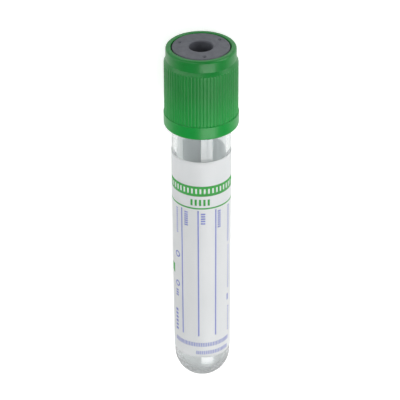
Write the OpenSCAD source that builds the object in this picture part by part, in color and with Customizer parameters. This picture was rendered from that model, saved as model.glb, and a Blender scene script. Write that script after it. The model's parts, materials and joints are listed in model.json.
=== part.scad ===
// Blood collection tube with a two-piece closure: a clear round-bottomed tube with a wrapped
// label, and a ribbed cap that carries a pierceable rubber stopper.
// Each piece is drawn on the tube's own axis, with Z from the tube's bottom to its mouth.
// lay_down() then lays the whole tube on its side, as it comes to rest: on the hem of its cap and
// on the lower edge of its label, or on its round bottom where that reaches lower.

/* [Tube] */
// Length of the bare tube, from the bottom to the mouth
tube_l = 75; // [60:1:100]
// Outside diameter at the mouth
tube_d = 13; // [12:0.1:16]
// Draft of the moulded wall, in degrees a side
draft = 0.25; // [0.1:0.05:0.4]
// Wall thickness of the tube
tube_wall = 1; // [0.8:0.05:1.3]
// Radius on both edges of the mouth
lip_r = 0.35; // [0.2:0.05:0.4]
// Diameter of the moulding gate's mark at the bottom
gate_d = 2.4; // [1.5:0.1:3.5]
// Depth of the gate's mark, from the lowest point
gate_depth = 0.3; // [0.28:0.02:0.5]

/* [Cap] */
// Height of the cap, from its hem to its rim
cap_h = 18.5; // [16:0.1:22]
// Height of the cap's rim above the tube's mouth
cap_over = 8.4; // [7:0.1:9.4]
// Radial clearance between the cap's skirt and the tube
skirt_gap = 0.25; // [0.15:0.05:0.4]
// Wall of the cap, without its grip
cap_wall = 0.85; // [0.8:0.05:1.4]
// Height of the smooth band under the rim
band_h = 2.6; // [2:0.1:4]
// Radius on the rim's outer edge
rim_r = 0.5; // [0.3:0.05:0.6]
// Width of the rim round the stopper
rim_w = 1.15; // [0.9:0.05:1.4]
// Number of grip ribs
ribs = 64; // [40:2:80]
// Step of the valleys between the ribs beyond the smooth band
grip_out = 0.26; // [0.1:0.02:0.4]
// Height of the ribs, from valley to crest
rib_h = 0.14; // [0.1:0.02:0.4]
// Length of the sloped shoulder at the ribs' upper ends
shoulder_h = 0.9; // [0.3:0.1:1.2]
// Height of the plain ring round the hem
ring_h = 3.1; // [2.4:0.1:4]
// Step of the ring beyond the ribs
ring_step = 0.15; // [0.1:0.05:0.4]
// Radius on the hem's outer edge
hem_r = 0.6; // [0.3:0.1:1]

/* [Stopper] */
// Height of the stopper's top face above the cap's rim
stopper_up = 0.03; // [0.01:0.01:0.4]
// Gap round the stopper's head
head_gap = 0.2; // [0.1:0.05:0.3]
// Radius on the head's upper edge
head_r = 0.35; // [0.2:0.05:0.5]
// Height of the cap's inner bead above the tube's mouth
bead_up = 2.4; // [2:0.1:3]
// Thickness of the bead
bead_h = 1.2; // [0.8:0.1:1.6]
// Reach of the bead into the stopper's groove
bead_w = 0.7; // [0.4:0.05:0.9]
// Clearance round the bead in the groove
bead_gap = 0.05; // [0.03:0.01:0.1]
// Length of the plug inside the tube
plug_l = 6.5; // [5:0.1:8]
// Radial clearance of the plug in the tube
plug_gap = 0.03; // [0.02:0.01:0.05]
// Depth of the waist between the plug's sealing beads
waist = 0.3; // [0.1:0.05:0.5]
// Diameter of the needle well
well_d = 5.2; // [3.4:0.1:5.4]
// Depth of the needle well
well_l = 5.2; // [3.4:0.1:5.4]
// Radius of the well's soft mouth
well_r = 0.3; // [0.2:0.1:0.8]
// Diameter of the hollow under the plug, at its mouth
hollow_d = 6.4; // [5:0.1:7.4]
// Depth of the hollow
hollow_l = 5.2; // [3:0.1:5.6]
// Number of moulding dimples in the top face
dimples = 3; // [2:1:6]
// Diameter of each dimple
dimple_d = 0.8; // [0.5:0.1:1]

/* [Label] */
// Height of the label's lower edge above the tube's bottom
label_low = 7.6; // [6.5:0.1:14]
// Length of the label along the tube
label_l = 51; // [44:0.2:53]
// Thickness of the label
label_t = 0.1; // [0.06:0.01:0.2]
// Thickness of the adhesive, left open under the label
glue_t = 0.02; // [0.02:0.01:0.05]
// Clear window left between the label's side edges
window_w = 3.4; // [2.8:0.2:8]
// Direction of the window from the label's middle, in degrees
window_at = -116; // [-180:1:-90]

/* [Print] */
// Thickness of the ink, half of it sunk in the label
ink_t = 0.06; // [0.04:0.02:0.1]
// Distance of the green band from the label's upper edge
green_down = 6; // [4:0.1:8]
// Width of the green band
green_w = 2.5; // [1:0.1:4]
// Space between the green band and the thin green line
line_down = 2.9; // [2:0.1:4]
// Width of the thin green line
line_w = 0.35; // [0.2:0.05:0.6]
// Distance of the blue rules from the label's lower edge
rule_up = 5.8; // [2:0.1:8]
// Space between the thin green line and the blue rules
rule_gap = 0.4; // [0.3:0.05:3]
// Width of the blue rules
rule_w = 0.3; // [0.2:0.05:0.6]
// Spacing of the blue rules round the label
rule_pitch = 3.9; // [3:0.05:5]

/* [Hidden] */
$fn = 96;
cut = 1; // overshoot of a cutting shape beyond the face that it cuts
seam = 15.8; // turn of the revolved surfaces' seams, off the line that the tube lies on

// Tube
slope = tan(draft);
tube_r = tube_d / 2;
base_r = (tube_r - tube_l * slope) / (1 - slope);
gate_r = gate_d / 2;
gate_edge = base_r - sqrt(pow(base_r, 2) - pow(gate_r, 2));
function wall_r(z) = base_r + (z - base_r) * slope;

// Cap
top_z = tube_l + cap_over;
hem_z = top_z - cap_h;
ring_top = hem_z + ring_h;
band_z = top_z - band_h;
skirt_r = tube_r + skirt_gap;
band_r = skirt_r + cap_wall;
valley_r = band_r + grip_out;
rib_r = valley_r + rib_h;
ring_r = rib_r + ring_step;
pocket_r = band_r - rim_w;
bead_z = tube_l + bead_up;
bead_r = pocket_r - bead_w;
edge = 0.3; // chamfer on the cap's inner edges
rib_steps = 6; // straight facets that draw one rib

// Stopper
seat_z = tube_l + 0.05; // underside of the stopper's head, just above the mouth
face_z = top_z + stopper_up;
stopper_r = pocket_r - head_gap;
groove_r = bead_r - bead_gap;
plug_z = tube_l - plug_l;
plug_r = wall_r(plug_z) - tube_wall - plug_gap;
seal_h = plug_l / 5; // height of each sealing bead
plug_edge = 0.5; // chamfer on the plug's nose
well_floor = face_z - well_l;
floor_edge = 0.5; // chamfer round the well's floor
hollow_taper = 0.7; // how much narrower the hollow is at its top
dimple_ring = (stopper_r + well_d / 2 + well_r) / 2 + 0.4;
dimple_turn = 68; // direction of the first dimple
dimple_h = 0.3;

// Label and print
label_high = label_low + label_l;
label_mid = wall_r((label_low + label_high) / 2);
window_turn = window_w / label_mid * 180 / PI;
rule_turn = rule_pitch / label_mid * 180 / PI;
rule_shift = -7; // turn of the middle rule from the label's middle, in degrees
band_top = label_high - green_down;
line_top = band_top - green_w - line_down;
rule_low = label_low + rule_up;
rule_high = line_top - line_w - rule_gap;

// Lying pose: the floor touches the fillet of the hem, and the round bottom or the label's edge
ball_reach = hem_z + hem_r - base_r;
ball_drop = ring_r - hem_r;
ball_tilt = atan2(ball_drop, ball_reach) + asin((hem_r - base_r) / norm([ball_reach, ball_drop]));
edge_r = wall_r(label_low) + glue_t + label_t;
edge_reach = hem_z + hem_r - label_low;
edge_drop = ring_r - hem_r - edge_r;
edge_tilt = atan2(edge_drop, edge_reach) + asin(hem_r / norm([edge_reach, edge_drop]));
rest_tilt = min(ball_tilt, edge_tilt);
rest_lift = max(base_r * (1 - sin(rest_tilt)), edge_r * cos(rest_tilt) - label_low * sin(rest_tilt));
rim_x = (top_z - rim_r) * cos(rest_tilt) + (band_r - rim_r) * sin(rest_tilt) + rim_r;
face_x = (face_z - head_r) * cos(rest_tilt) + (stopper_r - head_r) * sin(rest_tilt) + head_r;
far_x = max(rim_x, face_x);
near_x = gate_edge * cos(rest_tilt) - gate_r * sin(rest_tilt);

// Points on an arc, from angle a to angle b
function arc(x, y, r, a, b, n = 8) =
    [for (i = [0 : n]) [x + r * cos(a + (b - a) * i / n), y + r * sin(a + (b - a) * i / n)]];

// Turns a profile round the tube's axis
module revolve() {
    rotate([0, 0, seam])
        rotate_extrude()
            children();
}

// Lays a shape on its side: the axis points along +X and rises by rest_tilt
module lay_down() {
    translate([-(far_x + near_x) / 2, 0, rest_lift])
        rotate([0, 90 - rest_tilt, 0])
            children();
}

// A thin sheet wrapped round the tube from z0 to z1, its inside "off" clear of the wall
module wrap(z0, z1, off, t, start, turn) {
    rotate_extrude(angle = turn, start = start)
        polygon([
            [wall_r(z0) + off, z0],
            [wall_r(z0) + off + t, z0],
            [wall_r(z1) + off + t, z1],
            [wall_r(z1) + off, z1],
        ]);
}

// A printed field between two heights, centred "turn" degrees from the label's middle
module ink(z0, z1, turn, width) {
    wrap(z0, z1, glue_t + label_t - ink_t / 2, ink_t, 180 + turn - width / 2, width);
}

module tube() {
    inner_r = base_r - tube_wall;
    color([0.86, 0.89, 0.91, 0.4])
        revolve()
            polygon(concat(
                [[0, gate_depth], [gate_r, gate_depth]],
                arc(0, base_r, base_r, asin(gate_r / base_r) - 90, -draft, 24),
                arc(tube_r - lip_r, tube_l - lip_r, lip_r, 0, 90, 6),
                arc(tube_r - tube_wall + lip_r, tube_l - lip_r, lip_r, 90, 180, 6),
                arc(0, base_r, inner_r, -draft, -90, 24)
            ));
}

module label() {
    color([0.9, 0.92, 0.93])
        wrap(label_low, label_high, glue_t, label_t, 180 + window_at + window_turn / 2, 360 - window_turn);
}

module green_print() {
    width = 360 - window_turn;
    color([0.24, 0.68, 0.3]) {
        ink(band_top - green_w, band_top, 180 + window_at, width);
        ink(line_top - line_w, line_top, 180 + window_at, width);
    }
}

module blue_print() {
    width = rule_w / label_mid * 180 / PI;
    color([0.62, 0.65, 0.88])
        for (i = [-1 : 1])
            ink(rule_low, rule_high, rule_shift + i * rule_turn, width);
}

// Outline of the ribbed grip: crests at rib_r and valleys at valley_r
module rib_outline() {
    count = ribs * rib_steps;
    polygon([for (i = [0 : count - 1])
        let (r = valley_r + rib_h * (1 + cos(360 * i / rib_steps)) / 2)
        r * [cos(360 * i / count), sin(360 * i / count)]]);
}

// The ribs, cut off at their upper ends by a cone that meets the smooth band at its lower edge
module grip_ribs() {
    h = band_z - ring_top + 2 * cut;
    shoulder_slope = (rib_r - band_r) / shoulder_h;
    low_r = band_r + (h - cut) * shoulder_slope;
    translate([0, 0, ring_top - cut])
        intersection() {
            linear_extrude(h - cut / 2) rib_outline();
            cylinder(h = h, r1 = low_r, r2 = low_r - h * shoulder_slope);
        }
}

module cap_outside() {
    revolve()
        polygon(concat(
            [[0, hem_z]],
            arc(ring_r - hem_r, hem_z + hem_r, hem_r, -90, 0),
            [[ring_r, ring_top], [band_r, ring_top]],
            arc(band_r - rim_r, top_z - rim_r, rim_r, 0, 90),
            [[0, top_z]]
        ));
}

module cap_inside() {
    revolve()
        polygon([
            [0, hem_z - cut],
            [skirt_r + edge + cut, hem_z - cut],
            [skirt_r, hem_z + edge],
            [skirt_r, tube_l + edge],
            [pocket_r, tube_l + edge],
            [pocket_r, bead_z - edge],
            [bead_r, bead_z],
            [bead_r, bead_z + bead_h],
            [pocket_r, bead_z + bead_h],
            [pocket_r, top_z - edge / 2],
            [pocket_r + edge / 2 + cut, top_z + cut],
            [0, top_z + cut],
        ]);
}

module cap() {
    color([0.11, 0.5, 0.2])
        difference() {
            union() {
                cap_outside();
                grip_ribs();
            }
            cap_inside();
        }
}

module stopper_body() {
    well_wall = well_d / 2;
    hollow_mouth = hollow_d / 2;
    hollow_top = hollow_mouth - hollow_taper;
    revolve()
        polygon(concat(
            [[0, well_floor], [well_wall - floor_edge, well_floor], [well_wall, well_floor + floor_edge]],
            arc(well_wall + well_r, face_z - well_r, well_r, 180, 90),
            arc(stopper_r - head_r, face_z - head_r, head_r, 90, 0),
            [
                [stopper_r, bead_z + bead_h + bead_gap],
                [groove_r, bead_z + bead_h + bead_gap],
                [groove_r, bead_z - bead_gap],
                [stopper_r, bead_z - edge - bead_gap],
                [stopper_r, seat_z],
                [plug_r, seat_z],
                [plug_r, tube_l - seal_h],
                [plug_r - waist, tube_l - seal_h - waist],
                [plug_r - waist, plug_z + plug_edge + seal_h + waist],
                [plug_r, plug_z + plug_edge + seal_h],
                [plug_r, plug_z + plug_edge],
                [plug_r - plug_edge, plug_z],
                [hollow_mouth, plug_z],
                [hollow_top, plug_z + hollow_l - hollow_top / 2],
                [hollow_top / 2, plug_z + hollow_l],
                [0, plug_z + hollow_l],
            ]
        ));
}

module stopper() {
    color([0.38, 0.38, 0.41])
        difference() {
            stopper_body();
            for (i = [0 : dimples - 1])
                rotate([0, 0, dimple_turn + i * 360 / dimples])
                    translate([dimple_ring, 0, face_z - dimple_h])
                        cylinder(h = dimple_h + cut, d = dimple_d);
        }
}

lay_down() tube();
lay_down() label();
lay_down() green_print();
lay_down() blue_print();
lay_down() cap();
lay_down() stopper();
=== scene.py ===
import json
import math
import bpy
import numpy as np
from mathutils import Matrix, Vector


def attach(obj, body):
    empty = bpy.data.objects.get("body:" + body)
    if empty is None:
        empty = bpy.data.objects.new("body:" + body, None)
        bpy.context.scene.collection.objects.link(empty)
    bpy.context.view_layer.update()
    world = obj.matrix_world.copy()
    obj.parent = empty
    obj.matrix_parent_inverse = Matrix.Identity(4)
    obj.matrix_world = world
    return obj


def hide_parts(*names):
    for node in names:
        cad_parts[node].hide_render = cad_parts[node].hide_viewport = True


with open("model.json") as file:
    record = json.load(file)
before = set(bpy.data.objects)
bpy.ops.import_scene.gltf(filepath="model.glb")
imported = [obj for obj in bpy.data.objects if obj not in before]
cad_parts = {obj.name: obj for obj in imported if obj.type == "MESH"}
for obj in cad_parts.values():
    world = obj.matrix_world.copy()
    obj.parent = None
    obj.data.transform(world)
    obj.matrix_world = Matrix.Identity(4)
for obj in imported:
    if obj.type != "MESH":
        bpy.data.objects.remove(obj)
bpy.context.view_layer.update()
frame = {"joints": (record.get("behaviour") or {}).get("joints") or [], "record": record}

mm = 0.001
record = frame["record"]

# the tube's own axes: "along" runs from its round bottom to its cap, "face" points out of the
# label's middle, "under" the other way, and "across" over its side
along = np.array(frame["joints"][0]["axis"], dtype=float)
along /= np.linalg.norm(along)
across = np.array([0.0, 1.0, 0.0])
under = np.cross(across, along)
face = -under
mountAt = {m["name"]: np.array(m["pos_m"], dtype=float) for m in record["mounts"]}
bodyMountHeight = 30  # mm from the round bottom to the mount on the tube's axis
bottom = mountAt["tube_body"] - bodyMountHeight * mm * along  # end of the round bottom, on the axis


def turnedPoints(radius, turn, z):
    # point = bottom + radius * (under * cos(turn) + across * sin(turn)) + z * along,
    # with millimetres in and metres out
    radius, turn, z = np.broadcast_arrays(radius, turn, z)
    side = np.cos(turn)[..., None] * under + np.sin(turn)[..., None] * across
    return bottom + mm * (radius[..., None] * side + z[..., None] * along)


def rounded(corners, steps=8, keep=0.35, fine=0.0, fewSteps=3):
    # a line through corners given as (radius, z, fillet): each fillet is an arc tangent to both
    # sides, with one extra point just outside each end of it, which keeps flat faces flat when
    # shaded; fillets smaller than "fine" get only a few steps
    corners = [np.array(c, dtype=float) for c in corners]
    path = []
    for i, corner in enumerate(corners):
        point, fillet = corner[:2], corner[2]
        if fillet == 0 or i in (0, len(corners) - 1):
            path.append(point[None])
            continue
        back = corners[i - 1][:2] - point
        ahead = corners[i + 1][:2] - point
        back /= np.linalg.norm(back)
        ahead /= np.linalg.norm(ahead)
        half = math.acos(np.clip(back @ ahead, -1, 1)) / 2
        reach = fillet / math.tan(half)
        centre = point + (back + ahead) / np.linalg.norm(back + ahead) * fillet / math.sin(half)
        start = point + back * reach - centre
        sweep = math.pi - 2 * half
        if start[0] * (ahead - back)[1] - start[1] * (ahead - back)[0] < 0:
            sweep = -sweep
        arcSteps = steps if fillet >= fine else fewSteps
        angles = np.linspace(0, sweep, arcSteps + 1)[:, None]
        normal = np.array([-start[1], start[0]])
        arc = centre + start * np.cos(angles) + normal * np.sin(angles)
        spare = keep * fillet
        before, after = point + back * (reach + spare), point + ahead * (reach + spare)
        path += [before[None], arc, after[None]]
    return np.concatenate(path)


def makeMesh(name, points, quads, material, extra=()):
    mesh = bpy.data.meshes.new(name)
    faces = np.asarray(quads, dtype=np.int32)
    mesh.from_pydata(points.reshape(-1, 3), [], faces.tolist() + list(extra))
    mesh.materials.append(material)
    mesh.shade_smooth()
    mesh.update()
    piece = bpy.data.objects.new(name, mesh)
    bpy.context.scene.collection.objects.link(piece)
    return piece


def gridQuads(rows, columns, wrapRows=False, wrapColumns=True):
    # four corners for each cell of a grid that is stored row by row
    i = np.arange(rows if wrapRows else rows - 1)
    j = np.arange(columns if wrapColumns else columns - 1)
    i, j = np.meshgrid(i, j, indexing="ij")
    down, right = (i + 1) % rows, (j + 1) % columns
    here, below = i * columns, down * columns
    return np.stack([here + j, here + right, below + right, below + j], axis=-1).reshape(-1, 4)


def turnedPiece(name, radius, z, steps, material, poles):
    # a surface turned about the tube's axis: row i of the grid is profile point i, swept through a
    # full turn; with poles, the first and last points lie on the axis and each becomes a fan
    turn = np.linspace(0, 2 * math.pi, steps, endpoint=False)
    points = turnedPoints(radius, turn[None, :], z)
    if not poles:
        return makeMesh(name, points, gridQuads(len(points), steps, wrapRows=True), material)
    inner = points[1:-1]
    quads = gridQuads(len(inner), steps)
    ends = np.stack([points[0, 0], points[-1, 0]])
    count = len(inner) * steps
    ring = np.arange(steps)
    ahead = (ring + 1) % steps
    lowFan = np.stack([np.full(steps, count), ahead, ring], axis=1)
    last = count - steps
    highFan = np.stack([np.full(steps, count + 1), ring + last, ahead + last], axis=1)
    allPoints = np.concatenate([inner.reshape(-1, 3), ends])
    fans = np.concatenate([lowFan, highFan]).tolist()
    return makeMesh(name, allPoints, quads, material, extra=fans)


def pointValues(piece, name, values):
    # one number for each point of the mesh, which its material reads by name
    layer = piece.data.attributes.new(name, "FLOAT", "POINT")
    layer.data.foreach_set("value", values)


def newMaterial(name):
    material = bpy.data.materials.new(name)
    material.use_nodes = True
    nodes = material.node_tree.nodes
    return nodes, material.node_tree.links, nodes["Principled BSDF"], material


def noise(nodes, links, scale, detail, stretch=(1, 1, 1)):
    # noise on object coordinates, from 0 to 1; stretch changes its scale along X, Y and Z
    where = nodes.new("ShaderNodeTexCoord")
    mapping = nodes.new("ShaderNodeMapping")
    mapping.inputs["Scale"].default_value = stretch
    texture = nodes.new("ShaderNodeTexNoise")
    texture.inputs["Scale"].default_value = scale
    texture.inputs["Detail"].default_value = detail
    links.new(where.outputs["Object"], mapping.inputs["Vector"])
    links.new(mapping.outputs["Vector"], texture.inputs["Vector"])
    return texture.outputs["Fac"]


def ramp(nodes, links, value, start, end, first, last, kind="LINEAR"):
    # goes from first to last while the value goes from start to end
    change = nodes.new("ShaderNodeMapRange")
    change.interpolation_type = kind
    change.inputs["From Min"].default_value = start
    change.inputs["From Max"].default_value = end
    change.inputs["To Min"].default_value = first
    change.inputs["To Max"].default_value = last
    links.new(value, change.inputs["Value"])
    return change.outputs["Result"]


def spread(nodes, links, value, low, high):
    # most of a noise lies between 0.3 and 0.7, which becomes low to high
    return ramp(nodes, links, value, 0.3, 0.7, low, high)


def fadeAlong(nodes, links, start, end, first, last):
    # a smooth change from first to last between two places on X, which all but follows the tube
    where = nodes.new("ShaderNodeTexCoord")
    apart = nodes.new("ShaderNodeSeparateXYZ")
    links.new(where.outputs["Object"], apart.inputs["Vector"])
    return ramp(nodes, links, apart.outputs["X"], start, end, first, last, "SMOOTHSTEP")


def maths(nodes, links, operation, *values):
    # one Math node; each value is a number or a socket
    node = nodes.new("ShaderNodeMath")
    node.operation = operation
    for socket, value in zip(node.inputs, values):
        if isinstance(value, (int, float)):
            socket.default_value = value
        else:
            links.new(value, socket)
    return node.outputs["Value"]


def pointValue(nodes, name):
    reader = nodes.new("ShaderNodeAttribute")
    reader.attribute_name = name
    return reader.outputs["Fac"]


def mixColours(nodes, links, value, first, second):
    # the first colour is a tuple or a socket, the second a tuple
    mix = nodes.new("ShaderNodeMix")
    mix.data_type = "RGBA"
    if isinstance(first, tuple):
        mix.inputs["A"].default_value = (*first, 1)
    else:
        links.new(first, mix.inputs["A"])
    mix.inputs["B"].default_value = (*second, 1)
    links.new(value, mix.inputs["Factor"])
    return mix.outputs["Result"]


def bump(nodes, links, height, depth, strength, shader):
    # depth in mm
    node = nodes.new("ShaderNodeBump")
    node.inputs["Distance"].default_value = depth * mm
    node.inputs["Strength"].default_value = strength
    links.new(height, node.inputs["Height"])
    links.new(node.outputs["Normal"], shader.inputs["Normal"])


def clouded(nodes, links, s):
    # a colour that drifts between the two in the settings
    cloud = spread(nodes, links, noise(nodes, links, *s["clouds"]), 0, 1)
    return mixColours(nodes, links, cloud, *s["colours"])


def uneven(nodes, links, s):
    # a roughness that drifts between the two in the settings
    return spread(nodes, links, noise(nodes, links, *s["shine"]), *s["roughness"])


# Each piece has one dictionary, in mm and degrees. Its noises, called clouds, shine and grain, are
# (scale, detail) or (scale, detail, stretch), and "relief" is the grain's depth and strength.

tubeSettings = {
    "length": 75.0,
    "mouthRadius": 6.5,
    "draft": 0.25,  # on each side
    "wall": 1.0,
    "lip": 0.35,
    "gateRadius": 1.2,
    "gateDepth": 0.3,
    "gateFloor": 0.92,  # the flat floor's share of the gate's radius
    "gateEdge": 0.03,  # turn in radians from the gate's edge to the first point of the ball
    "arcSteps": 48,
    "wallSteps": 40,
    "steps": 256,
    "tint": (0.945, 0.965, 0.965),
    "index": 1.57,
    "shine": (500, 2),
    "roughness": (0.015, 0.04),
    "grain": (180, 2, (0.15, 1, 1)),
    "relief": (0.02, 0.25),
    "bottomRoughness": 0.3,  # added at the end of the round bottom
    "bottomFade": 12.0,  # height at which that has gone
    "lampColour": (0.95, 0.97, 0.97),  # what a lamp's light keeps on its way through one surface
    "depthColour": (0.88, 0.9, 0.9),
    "depthDensity": 200.0,  # for each metre of plastic
}
slope = math.tan(math.radians(tubeSettings["draft"]))
baseRadius = (tubeSettings["mouthRadius"] - tubeSettings["length"] * slope) / (1 - slope)


def wallRadius(z):
    # the tube's outside radius at height z, in mm: it grows by the draft from the round bottom up
    return baseRadius + (z - baseRadius) * slope


def clearPlastic(s):
    nodes, links, shader, material = newMaterial("clearPlastic")
    shader.inputs["Base Color"].default_value = (*s["tint"], 1)
    shader.inputs["Transmission Weight"].default_value = 1
    shader.inputs["IOR"].default_value = s["index"]
    # the round bottom is duller than the wall above it
    end = bottom[0]
    dull = fadeAlong(nodes, links, end, end + s["bottomFade"] * mm, s["bottomRoughness"], 0)
    links.new(maths(nodes, links, "ADD", dull, uneven(nodes, links, s)), shader.inputs["Roughness"])
    bump(nodes, links, noise(nodes, links, *s["grain"]), *s["relief"], shader)
    # lamps shine through the wall, so what is inside is lit
    clear = nodes.new("ShaderNodeBsdfTransparent")
    path = nodes.new("ShaderNodeLightPath")
    mix = nodes.new("ShaderNodeMixShader")
    clear.inputs["Color"].default_value = (*s["lampColour"], 1)
    links.new(path.outputs["Is Shadow Ray"], mix.inputs["Fac"])
    links.new(shader.outputs["BSDF"], mix.inputs[1])
    links.new(clear.outputs["BSDF"], mix.inputs[2])
    links.new(mix.outputs["Shader"], nodes["Material Output"].inputs["Surface"])
    # long ways through the wall, at the tube's edges and round its bottom, look greyer than short
    depth = nodes.new("ShaderNodeVolumeAbsorption")
    depth.inputs["Color"].default_value = (*s["depthColour"], 1)
    depth.inputs["Density"].default_value = s["depthDensity"]
    links.new(depth.outputs["Volume"], nodes["Material Output"].inputs["Volume"])
    return material


def makeTube(s):
    # the profile runs from the gate's mark up the outside, over the mouth and down the inside;
    # the round bottom is (R * sin(a), R * (1 - cos(a))) outside, and the same less the wall inside
    ball, inner = baseRadius, baseRadius - s["wall"]
    start = math.asin(s["gateRadius"] / ball) + s["gateEdge"]
    end = math.pi / 2 - math.radians(s["draft"])
    outerArc = np.linspace(start, end, s["arcSteps"])
    innerArc = np.linspace(end, 0, s["arcSteps"] + 1)
    gate = rounded([
        (0, s["gateDepth"], 0),
        (s["gateRadius"] * s["gateFloor"], s["gateDepth"], 0.06),
        (s["gateRadius"], ball - math.sqrt(ball**2 - s["gateRadius"] ** 2), 0.04),
        (ball * math.sin(start), ball * (1 - math.cos(start)), 0),
    ], steps=4)[:-1]
    outside = np.stack([ball * np.sin(outerArc), ball * (1 - np.cos(outerArc))], axis=1)
    mouth, neck = s["length"], s["length"] - 2 * s["lip"]
    outWall = np.linspace(ball + 2, neck, s["wallSteps"])
    inWall = outWall[::-1]
    outLine = np.stack([wallRadius(outWall), outWall], axis=1)
    inLine = np.stack([wallRadius(inWall) - s["wall"], inWall], axis=1)
    bore = s["mouthRadius"] - s["wall"]
    lip = rounded([
        (s["mouthRadius"], neck, 0),
        (s["mouthRadius"], mouth, s["lip"]),
        (bore, mouth, s["lip"]),
        (bore, neck, 0),
    ])[2:-2]
    inside = np.stack([inner * np.sin(innerArc), ball - inner * np.cos(innerArc)], axis=1)
    profile = np.concatenate([gate, outside, outLine, lip, inLine, inside])
    radius, z = profile[:, :1], profile[:, 1:]
    piece = turnedPiece("clearTube", radius, z, s["steps"], clearPlastic(s), poles=True)
    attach(piece, "tube_body")
    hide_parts("tube")


makeTube(tubeSettings)
print("tube made")

capSettings = {
    "height": 18.5,
    "over": 8.4,  # the rim's height above the tube's mouth
    "skirt": 6.75,  # skirt, band, valley, ring and pocket are radii
    "band": 7.6,
    "bandHeight": 2.6,
    "valley": 7.89,
    "ribHeight": 0.11,
    "ribs": 64,
    "groovePower": 5,  # higher for narrower grooves
    "ribBlend": 0.012,  # softens the line where the ribs meet their shoulder
    "shoulder": 0.9,
    "shoulderRows": 24,
    "ring": 8.15,
    "ringHeight": 3.1,
    "hemEdge": 0.6,
    "rimEdge": 0.5,
    "pocket": 6.45,
    "beadUp": 2.4,  # the bead's height above the tube's mouth
    "beadHeight": 1.2,
    "beadReach": 0.7,
    "steps": 768,
    "clouds": (220, 3),
    "colours": ((0.003, 0.205, 0.028), (0.005, 0.235, 0.034)),
    # painted light: a brighter, clearer green towards the hem, for light let through the thin skirt
    "paintedSkirtLight": (0.002, 0.31, 0.042),
    "paintedSkirtLightFade": (12, 1.5),  # heights above the hem at which the painted light starts and is full
    "shine": (900, 2),
    "roughness": (0.3, 0.36),
    "ribRoughness": 0.13,  # added on the ribs
    "grain": (500, 2),
    "relief": (0.01, 0.12),
    "index": 1.45,
    "milky": 0.3,  # share of light that goes into the plastic
    "milkyReach": (0.3, 1.0, 0.35),
    "milkyDepth": 0.6,
}


def capPlastic(s):
    nodes, links, shader, material = newMaterial("capPlastic")
    # painted light: the colour turns a clearer, brighter green towards the hem, for the light that
    # the thin skirt lets through
    hem = turnedPoints(0.0, 0.0, tubeSettings["length"] + s["over"] - s["height"])[0]
    none, full = (hem + height * mm for height in s["paintedSkirtLightFade"])
    skirt = fadeAlong(nodes, links, none, full, 0, 1)
    both = mixColours(nodes, links, skirt, clouded(nodes, links, s), s["paintedSkirtLight"])
    links.new(both, shader.inputs["Base Color"])
    # the ribs are duller than the smooth band and the ring
    grip, plain = pointValue(nodes, "grip"), uneven(nodes, links, s)
    dull = maths(nodes, links, "MULTIPLY_ADD", grip, s["ribRoughness"], plain)
    links.new(dull, shader.inputs["Roughness"])
    shader.inputs["IOR"].default_value = s["index"]
    shader.inputs["Subsurface Weight"].default_value = s["milky"]
    shader.inputs["Subsurface Radius"].default_value = s["milkyReach"]
    shader.inputs["Subsurface Scale"].default_value = s["milkyDepth"] * mm
    bump(nodes, links, noise(nodes, links, *s["grain"]), *s["relief"], shader)
    return material


def softLower(a, b, blend):
    # the lower of two values, with a smooth change from one to the other:
    # -blend * log(exp(-a / blend) + exp(-b / blend))
    least = np.minimum(a, b)
    return least - blend * np.log(np.exp((least - a) / blend) + np.exp((least - b) / blend))


def makeCap(s):
    # the profile goes up the outside from the hem, over ring, ribs, shoulder, smooth band and rim,
    # then down the inside over the bead; the ribs' radius is valley + ribHeight * wave(turn),
    # cut off at their upper ends by a cone that meets the band
    mouth = tubeSettings["length"]
    top = mouth + s["over"]
    hem = top - s["height"]
    ringTop = hem + s["ringHeight"]
    band = top - s["bandHeight"]
    bead, beadTop = mouth + s["beadUp"], mouth + s["beadUp"] + s["beadHeight"]
    beadRadius = s["pocket"] - s["beadReach"]
    crest = s["valley"] + s["ribHeight"]
    foot = rounded([
        (s["skirt"] + 0.3, hem, 0),
        (s["ring"], hem, s["hemEdge"]),
        (s["ring"], ringTop, 0.1),
        (crest + 0.02, ringTop, 0),
    ], fine=0.3)
    gripZ = np.concatenate([ringTop + np.array([0.005, 0.05, 0.15, 0.6]), [band - 2.4, band - 1.4]])
    shoulderZ = np.linspace(band - 1.15, band + 0.1, s["shoulderRows"])
    ribZ = np.concatenate([gripZ, shoulderZ])
    cone = s["band"] + (band - ribZ) * (crest - s["band"]) / s["shoulder"]
    body = rounded([
        (s["band"], band + 0.15, 0),
        (s["band"], top, s["rimEdge"]),
        (s["pocket"] + 0.12, top, 0.1),
        (s["pocket"], top - 0.15, 0.1),
        (s["pocket"], beadTop, 0.05),
        (beadRadius, beadTop, 0.1),
        (beadRadius, bead, 0.1),
        (s["pocket"], bead - 0.3, 0.1),
        (s["pocket"], mouth + 0.3, 0.05),
        (s["skirt"], mouth + 0.3, 0.05),
        (s["skirt"], hem + 0.3, 0.1),
        (s["skirt"] + 0.2, hem + 0.08, 0),
    ], fine=0.3)
    turn = np.linspace(0, 2 * math.pi, s["steps"], endpoint=False)
    wave = 1 - (0.5 - 0.5 * np.cos(s["ribs"] * turn)) ** s["groovePower"]  # flat crests
    ribRadius = s["valley"] + s["ribHeight"] * wave
    limit = np.maximum(cone, s["band"])
    ribs = softLower(ribRadius[None, :], limit[:, None], s["ribBlend"])
    ribs = np.maximum(ribs, s["band"])
    radius = np.concatenate([
        np.repeat(foot[:, :1], s["steps"], axis=1),
        ribs,
        np.repeat(body[:, :1], s["steps"], axis=1),
    ])
    z = np.concatenate([foot[:, 1], ribZ, body[:, 1]])[:, None]
    piece = turnedPiece("ribbedCap", radius, z, s["steps"], capPlastic(s), poles=False)
    gripRows = np.zeros(len(z))
    gripRows[len(foot):len(foot) + len(gripZ)] = 1
    pointValues(piece, "grip", np.repeat(gripRows, s["steps"]))
    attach(piece, "closure")
    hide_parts("cap")


makeCap(capSettings)
print("cap made")

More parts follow.
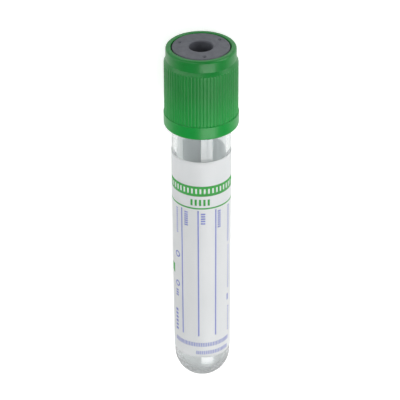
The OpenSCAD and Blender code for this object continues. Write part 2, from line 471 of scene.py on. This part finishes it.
stopperSettings = {
    "up": 0.03,  # height of the top face above the rim
    "gap": 0.2,  # round the head, inside the rim
    "edge": 0.35,
    "faceRows": 60,
    "wellRadius": 2.6,
    "wellDepth": 5.2,
    "wellLip": 0.3,
    "beadGap": 0.05,
    "plugLength": 6.5,
    "plugGap": 0.03,
    "waist": 0.3,  # depth of the waist between the plug's two sealing bands
    "hollowRadius": 3.2,
    "hollowDepth": 5.2,
    "dimples": 3,
    "dimpleRadius": 0.52,
    "dimpleRing": 4.97,
    "dimpleTurn": 68,
    "dimpleDepth": 0.5,
    "steps": 360,
    "clouds": (700, 4),
    "colours": ((0.1, 0.106, 0.126), (0.128, 0.135, 0.156)),
    # painted shade: the well's rubber is coloured darker with depth, for the shade down in the well
    "paintedWellShadeColour": (0.02, 0.021, 0.025),
    "paintedWellShadeDepth": 3.0,  # depth in the well at which the painted shade is darkest
    "shine": (1500, 2),
    "roughness": (0.5, 0.62),
    "grain": (3500, 4),
    "relief": (0.015, 0.5),
}


def stopperRubber(s):
    nodes, links, shader, material = newMaterial("stopperRubber")
    # painted shade: the colour goes over to the well's dark colour with depth in the well
    paintedWellShade, plain = pointValue(nodes, "paintedWellShade"), clouded(nodes, links, s)
    links.new(mixColours(nodes, links, paintedWellShade, plain, s["paintedWellShadeColour"]), shader.inputs["Base Color"])
    links.new(uneven(nodes, links, s), shader.inputs["Roughness"])
    bump(nodes, links, noise(nodes, links, *s["grain"]), *s["relief"], shader)
    return material


def makeStopper(s):
    # the profile goes from the top of the hollow down, round the plug and the groove, over the top
    # face and down the well; each sealing band of the plug is a fifth of its length;
    # each dimple lowers the face by dimpleDepth * (3 * t**2 - 2 * t**3), where t is
    # 1.15 - distance / dimpleRadius, kept between 0 and 1
    mouth = tubeSettings["length"]
    top = mouth + capSettings["over"] + s["up"]
    head = capSettings["pocket"] - s["gap"]
    bead = mouth + capSettings["beadUp"]
    grooveTop = bead + capSettings["beadHeight"] + s["beadGap"]
    groove = capSettings["pocket"] - capSettings["beadReach"] - s["beadGap"]
    plugLow = mouth - s["plugLength"]
    plug = wallRadius(plugLow) - tubeSettings["wall"] - s["plugGap"]
    waist = plug - s["waist"]
    seal = s["plugLength"] / 5
    lowSeal, highSeal = plugLow + 0.5 + seal, mouth - seal
    floor = top - s["wellDepth"]
    hollow, hollowTop = s["hollowRadius"], plugLow + s["hollowDepth"]
    low = rounded([
        (0, hollowTop, 0),
        (hollow - 0.9, hollowTop, 1.0),
        (hollow, plugLow, 0.2),
        (plug, plugLow, 0.45),
        (plug, lowSeal, 0.1),
        (waist, lowSeal + s["waist"], 0.1),
        (waist, highSeal - s["waist"], 0.1),
        (plug, highSeal, 0.1),
        (plug, mouth + 0.05, 0.02),
        (head, mouth + 0.05, 0.2),
        (head, bead - 0.35, 0.1),
        (groove, bead - s["beadGap"], 0.1),
        (groove, grooveTop, 0.1),
        (head, grooveTop, 0.1),
        (head, top, s["edge"]),
        (head - 1.0, top, 0),
    ])[:-1]
    wellMouth = s["wellRadius"] + s["wellLip"] + 0.1
    flat = np.linspace(head - s["edge"] - 0.2, wellMouth, s["faceRows"])
    topFace = np.stack([flat, np.full_like(flat, top)], axis=1)
    well = rounded([
        (wellMouth, top, 0),
        (s["wellRadius"], top, s["wellLip"]),
        (s["wellRadius"], floor, 0.45),
        (0, floor, 0),
    ], steps=16, keep=0.1)[1:]
    profile = np.concatenate([low, topFace, well])
    turn = np.linspace(0, 2 * math.pi, s["steps"], endpoint=False)
    radius = np.repeat(profile[:, :1], s["steps"], axis=1)
    z = np.repeat(profile[:, 1:], s["steps"], axis=1)
    onFace = (z > top - 0.02).astype(float)
    for i in range(s["dimples"]):
        at = math.radians(s["dimpleTurn"] + i * 360 / s["dimples"])
        distance = np.hypot(
            radius * np.cos(turn) - s["dimpleRing"] * math.cos(at),
            radius * np.sin(turn) - s["dimpleRing"] * math.sin(at),
        )
        depth = np.clip(1.15 - distance / s["dimpleRadius"], 0, 1)
        z = z - s["dimpleDepth"] * onFace * depth * depth * (3 - 2 * depth)
    piece = turnedPiece("rubberStopper", radius, z, s["steps"], stopperRubber(s), poles=True)
    # painted shade: the well's colour gets darker with depth; the two pole points come last
    paintedWellShadeRows = np.zeros(len(profile))
    paintedWellShadeRows[-len(well):] = np.clip((top - well[:, 1]) / s["paintedWellShadeDepth"], 0, 1)
    ringValues, poleValues = np.repeat(paintedWellShadeRows[1:-1], s["steps"]), paintedWellShadeRows[[0, -1]]
    pointValues(piece, "paintedWellShade", np.concatenate([ringValues, poleValues]))
    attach(piece, "closure")
    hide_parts("stopper")


makeStopper(stopperSettings)
print("stopper made")


def closedSkins(name, z, turn, low, high, material, wrapColumns=False):
    # thin curved fields on the tube, one for each first index of z and turn, which are grids in mm
    # and radians: a field is a closed skin of two grids, one "low" above the wall and one "high"
    z, turn = np.broadcast_arrays(z, turn)
    count, rows, columns = z.shape
    size = rows * columns
    upper = turnedPoints(wallRadius(z) + high, turn, z).reshape(count, size, 3)
    lower = turnedPoints(wallRadius(z) + low, turn, z).reshape(count, size, 3)
    points = np.concatenate([upper, lower], axis=1)
    one = gridQuads(rows, columns, wrapColumns=wrapColumns)
    order = np.arange(size).reshape(rows, columns)
    if wrapColumns:
        rims = [order[0], order[-1, ::-1]]
    else:
        rims = [np.concatenate([order[0], order[1:, -1], order[-1, -2::-1], order[-2:0:-1, 0]])]
    nexts = [np.roll(rim, -1) for rim in rims]
    edges = [np.stack([n, r, r + size, n + size], axis=1) for n, r in zip(nexts, rims)]
    cell = np.concatenate([one, one[:, ::-1] + size] + edges)
    quads = (cell[None] + (np.arange(count) * 2 * size)[:, None, None]).reshape(-1, 4)
    return makeMesh(name, points, quads, material)


def patches(fields, columns, rows):
    # grids for rectangles given as (low z, high z, left turn, right turn), turns in degrees from
    # the label's middle: z = low + (high - low) * v and turn = left + (right - left) * u
    low, high, left, right = np.array(fields, dtype=float).T[:, :, None]
    u = np.linspace(0, 1, columns)
    v = np.linspace(0, 1, rows)
    z = low + (high - low) * v
    turn = math.pi + np.radians(left + (right - left) * u)
    return z[:, :, None], turn[:, None, :]


labelSettings = {
    "low": 7.6,
    "length": 51.0,
    "thickness": 0.1,
    "glue": 0.02,
    "window": 3.4,  # the clear strip left between the label's side edges
    "windowAt": -116,  # turn from the label's middle
    "steps": 220,
    "rows": 60,
    "clouds": (160, 3, (0.4, 1, 1)),
    "colours": ((0.79, 0.82, 0.835), (0.84, 0.865, 0.88)),
    "shine": (1200, 2),
    "roughness": (0.42, 0.5),
    "grain": (1800, 3),
    "relief": (0.006, 0.3),
    "seeThrough": 0.8,
    "softness": 0.3,  # how far light spreads in the film
    "paintedInsideGlow": 0.15,  # painted light: the film glows where its inner side is seen through the clear wall
}
labelHigh = labelSettings["low"] + labelSettings["length"]
labelRadius = wallRadius((labelSettings["low"] + labelHigh) / 2)
oneMm = math.degrees(1 / labelRadius)  # turn of one millimetre round the label
halfWindow = labelSettings["window"] * oneMm / 2
labelLeft = labelSettings["windowAt"] + halfWindow
labelRight = labelSettings["windowAt"] + 360 - halfWindow


def labelFilm(s):
    nodes, links, shader, material = newMaterial("labelFilm")
    links.new(clouded(nodes, links, s), shader.inputs["Base Color"])
    links.new(uneven(nodes, links, s), shader.inputs["Roughness"])
    shader.inputs["Subsurface Weight"].default_value = s["seeThrough"]
    shader.inputs["Subsurface Radius"].default_value = (1, 1, 1)
    shader.inputs["Subsurface Scale"].default_value = s["softness"] * mm
    bump(nodes, links, noise(nodes, links, *s["grain"]), *s["relief"], shader)
    # painted light: the film glows for bent rays, so its inner side looks lit through the clear
    # wall
    through = nodes.new("ShaderNodeLightPath").outputs["Is Transmission Ray"]
    glow = maths(nodes, links, "MULTIPLY", through, s["paintedInsideGlow"])
    links.new(glow, shader.inputs["Emission Strength"])
    shader.inputs["Emission Color"].default_value = (1, 1, 1, 1)
    return material


def makeLabel(s):
    # one sheet on the layer of glue, from the window's one side round to its other side
    z, turn = patches([(s["low"], labelHigh, labelLeft, labelRight)], s["steps"], s["rows"])
    low, high = s["glue"], s["glue"] + s["thickness"]
    piece = closedSkins("wrappedLabel", z, turn, low, high, labelFilm(s))
    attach(piece, "tube_body")
    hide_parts("label")


makeLabel(labelSettings)
print("label made")

printSettings = {
    "sunk": 0.03,  # how far the ink's underside lies in the label
    "thickness": 0.045,
    "band": (50.1, 52.6),  # band, line and rules are from height to height
    "line": (46.85, 47.2),
    "rules": (13.4, 46.45),
    "ruleWidth": 0.3,
    "rulePitch": 3.9,
    "ruleShift": -7,  # turn of the middle rule
    "rings": ((33.8, -56, 0.8, 0.5), (26.0, -57, 0.75, 0.45)),  # height, turn, outer, inner radius
    "dashStep": 0.012,  # how far the dashes stand above the band
    "green": ((0.045, 0.39, 0.065), (0.06, 0.43, 0.08)),
    "blue": ((0.24, 0.28, 0.66), (0.28, 0.32, 0.70)),
    "pale": ((0.80, 0.84, 0.82), (0.84, 0.87, 0.86)),
    "clouds": (900, 3),
    "shine": (1400, 2),
    "roughness": (0.4, 0.5),
}


def printInk(name, colours):
    s = {**printSettings, "colours": colours}
    nodes, links, shader, material = newMaterial(name)
    links.new(clouded(nodes, links, s), shader.inputs["Base Color"])
    links.new(uneven(nodes, links, s), shader.inputs["Roughness"])
    return material


def printed(name, z, turn, material, slot, node=None, step=0, wrapColumns=False):
    # ink on the label: a skin whose lower side is a little below the label's face
    low = labelSettings["glue"] + labelSettings["thickness"] - printSettings["sunk"] + step
    high = low + printSettings["thickness"]
    piece = closedSkins(name, z, turn, low, high, material, wrapColumns)
    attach(piece, "tube_body")
    if node:
        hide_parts(node)


def barRow(start, end, count, middle, length, cover):
    # a row of plain bars up the tube, from height start to height end, each "length" mm wide round
    # the tube and "cover" of a pitch high
    pitch = (end - start) / count
    left, right = middle - length * oneMm / 2, middle + length * oneMm / 2
    return [(start + i * pitch, start + (i + cover) * pitch, left, right) for i in range(count)]


def barRing(low, high, left, right, count, cover):
    # a row of plain bars round the tube, from turn left to turn right
    pitch = (right - left) / count
    return [(low, high, left + i * pitch, left + (i + cover) * pitch) for i in range(count)]


def makePrint(s):
    greenInk = printInk("greenInk", s["green"])
    blueInk = printInk("blueInk", s["blue"])
    paleInk = printInk("paleInk", s["pale"])
    bands = [(*s["band"], labelLeft, labelRight), (*s["line"], labelLeft, labelRight)]
    z, turn = patches(bands, labelSettings["steps"], 3)
    printed("greenPrint", z, turn, greenInk, "green_ink", "green_print")
    pitch = s["rulePitch"] * oneMm
    half = s["ruleWidth"] * oneMm / 2
    middles = [s["ruleShift"] + i * pitch for i in (-1, 0, 1)]
    rules = [(*s["rules"], middle - half, middle + half) for middle in middles]
    printed("blueRules", *patches(rules, 3, 40), blueInk, "blue_ink", "blue_print")
    # the small print is only rows of plain bars
    small = [
        *barRow(42.3, 46.1, 7, -32, 0.85, 0.6),  # three fields beside the rules' upper ends
        *barRow(43.0, 46.0, 5, 2.6, 0.95, 0.6),
        *barRow(41.6, 46.2, 8, 36, 0.8, 0.6),
        *barRow(39.5, 46.2, 12, -56, 0.55, 0.5),  # two columns at the sides
        *barRow(36.8, 46.4, 16, 63, 0.7, 0.5),
        *barRow(24.5, 36.0, 18, 64, 0.6, 0.4),
        *barRow(21.2, 22.8, 1, 62, 0.5, 1),
        *barRow(13.0, 19.8, 10, 65, 0.6, 0.4),
        *barRow(13.4, 19.4, 6, -61, 0.9, 0.62),
        *barRow(22.6, 24.6, 3, -59, 0.9, 0.6),
        *barRing(10.55, 11.6, -64, 66, 36, 0.5),  # two rows under the rules
        *barRing(8.45, 9.4, -12, 62, 19, 0.5),
    ]
    printed("smallPrint", *patches(small, 3, 2), blueInk, "blue_ink")
    # rings: two circles each, height + radius * sin(a) up and radius * cos(a) round the label
    around = np.linspace(0, 2 * math.pi, 32, endpoint=False)
    height, middle, outer, inner = np.array(s["rings"]).T[:, :, None, None]
    size = np.concatenate([inner, outer], axis=1)
    z = height + size * np.sin(around)
    turn = math.pi + np.radians(middle + size * oneMm * np.cos(around))
    printed("ringMarks", z, turn, blueInk, "blue_ink", wrapColumns=True)
    marks = barRing(47.75, 49.3, -22, 20, 5, 0.5) + [(28.1, 30.4, -83, -69)]
    printed("greenMarks", *patches(marks, 5, 3), greenInk, "green_ink")
    dashes = barRing(50.75, 52.0, -78, 78, 19, 0.42)
    printed("bandDashes", *patches(dashes, 3, 3), paleInk, "label_film", step=s["dashStep"])


makePrint(printSettings)
print("print made")

# the stage is in metres and degrees, apart from the two that say mm
stageSettings = {
    "size": 1.5,
    "colour": 0.8,  # what the floor gives back of the lamps' light
    "glow": 0.6,  # brings the floor up to white where it is seen
    "bentColour": 0.7,  # colour and glow of the floor in mirrored and bent light
    "bentGlow": 0.4,
    "glowMiddle": 0.025,  # place on X round which the bent glow fades
    "glowFades": (0.035, 0.09),
    "world": 0.25,
    "lampAim": 45,  # mm from the round bottom
    "lamps": {  # turn from the label's middle, rise towards the cap, distance, width, height, power
        "keyLamp": (10, -30, 0.6, 0.22, 0.35, 0.935),
        "keySide": (35, -30, 0.6, 0.22, 0.35, 0.867),
        "rightHigh": (80, 40, 0.6, 0.35, 0.45, 1.366),
        "leftLow": (-84, 0, 0.6, 0.3, 0.4, 0.635),
        "leftUpper": (-45, 25, 0.6, 0.4, 0.4, 0.36),
        "leftWide": (-62, 22, 0.6, 0.4, 0.4, 0.443),
        "rightLow": (86, 5, 0.6, 0.3, 0.4, 0.655),
        "nearHigh": (-12, 30, 0.6, 0.4, 0.3, 0.48),
    },
    "lens": 204.0,
    "distance": 0.5,
    "rise": 30.8,
    "aimAt": 45.41,  # mm from the round bottom
    "right": 0.363,  # mm
    "roll": 0.263,
}


def floorPaint(s):
    # a pale floor that keeps the object's shadow, and glows a little where the camera, mirrored
    # rays or bent rays meet it
    nodes, links, shader, material = newMaterial("paleFloor")
    shader.inputs["Roughness"].default_value = 0.9
    shader.inputs["Specular IOR Level"].default_value = 0
    where = nodes.new("ShaderNodeTexCoord")
    distance = nodes.new("ShaderNodeVectorMath")
    distance.operation = "DISTANCE"
    distance.inputs[1].default_value = (s["glowMiddle"], 0, 0)
    links.new(where.outputs["Object"], distance.inputs[0])
    near = ramp(nodes, links, distance.outputs["Value"], *s["glowFades"], 1, 0, "SMOOTHSTEP")
    rays = nodes.new("ShaderNodeLightPath").outputs
    bent = maths(nodes, links, "MAXIMUM", rays["Is Glossy Ray"], rays["Is Transmission Ray"])
    tones = [(s[tone], s[tone], s[tone]) for tone in ("colour", "bentColour")]
    links.new(mixColours(nodes, links, bent, *tones), shader.inputs["Base Color"])
    bentNear = maths(nodes, links, "MULTIPLY", bent, near)
    bentGlow = maths(nodes, links, "MULTIPLY", bentNear, s["bentGlow"])
    seenGlow = maths(nodes, links, "MULTIPLY", rays["Is Camera Ray"], s["glow"])
    glow = nodes.new("ShaderNodeEmission")
    add = nodes.new("ShaderNodeAddShader")
    links.new(maths(nodes, links, "ADD", seenGlow, bentGlow), glow.inputs["Strength"])
    links.new(shader.outputs["BSDF"], add.inputs[0])
    links.new(glow.outputs["Emission"], add.inputs[1])
    links.new(add.outputs["Shader"], nodes["Material Output"].inputs["Surface"])
    return material


def makeFloor(s):
    size = s["size"]
    corners = np.array([(-size, -size, 0), (size, -size, 0), (size, size, 0), (-size, size, 0)])
    floor = makeMesh("floor", corners, [(0, 1, 2, 3)], floorPaint(s))


def makeWorld(s):
    world = bpy.data.worlds.new("studio")
    world.use_nodes = True
    bpy.context.scene.world = world
    nodes, links = world.node_tree.nodes, world.node_tree.links
    plain = nodes["Background"]
    plain.inputs["Color"].default_value = (1, 1, 1, 1)
    plain.inputs["Strength"].default_value = s["world"]
    seen = nodes.new("ShaderNodeBackground")  # white, for the camera only
    seen.inputs["Color"].default_value = (1, 1, 1, 1)
    seen.inputs["Strength"].default_value = 1
    path = nodes.new("ShaderNodeLightPath")
    mix = nodes.new("ShaderNodeMixShader")
    links.new(path.outputs["Is Camera Ray"], mix.inputs["Fac"])
    links.new(plain.outputs["Background"], mix.inputs[1])
    links.new(seen.outputs["Background"], mix.inputs[2])
    links.new(mix.outputs["Shader"], nodes["World Output"].inputs["Surface"])


def areaLamp(name, turn, rise, distance, width, height, power):
    # a rectangular lamp aimed at the tube's middle; turn goes round the tube from the label's face
    # towards the right-hand side, and rise leans it towards the cap
    middle = bottom + stageSettings["lampAim"] * mm * along
    a, e = math.radians(turn), math.radians(rise)
    out = (face * math.cos(a) - across * math.sin(a)) * math.cos(e) + along * math.sin(e)
    lamp = bpy.data.lights.new(name, "AREA")
    lamp.shape = "RECTANGLE"
    lamp.size, lamp.size_y = width, height
    lamp.energy = power
    holder = bpy.data.objects.new(name, lamp)
    bpy.context.scene.collection.objects.link(holder)
    z = Vector(out)
    y = Vector(along) - z * Vector(along).dot(z)
    y.normalize()
    x = y.cross(z)
    holder.matrix_world = Matrix((x, y, z)).transposed().to_4x4()
    holder.location = middle + out * distance


def makeCamera(s):
    # looks at the label's face from above it, with the cap at the top of the picture
    rise = math.radians(s["rise"])
    back = along * math.sin(rise) + face * math.cos(rise)
    right = -across
    up = np.cross(back, right)
    tip = math.radians(s["roll"])
    upTipped = up * math.cos(tip) + right * math.sin(tip)
    rightTipped = right * math.cos(tip) - up * math.sin(tip)
    data = bpy.data.cameras.new("camera")
    data.lens = s["lens"]
    data.sensor_width = 36
    data.clip_start, data.clip_end = 0.05, 10
    camera = bpy.data.objects.new("camera", data)
    bpy.context.scene.collection.objects.link(camera)
    place = bottom + s["aimAt"] * mm * along - s["right"] * mm * right + back * s["distance"]
    rows = np.stack([rightTipped, upTipped, back], axis=1)
    camera.matrix_world = Matrix.Translation(Vector(place)) @ Matrix(rows.tolist()).to_4x4()
    bpy.context.scene.camera = camera


makeFloor(stageSettings)
makeWorld(stageSettings)
for lampName, place in stageSettings["lamps"].items():
    areaLamp(lampName, *place)
makeCamera(stageSettings)
bpy.context.scene.view_settings.view_transform = "Standard"
print("stage made")
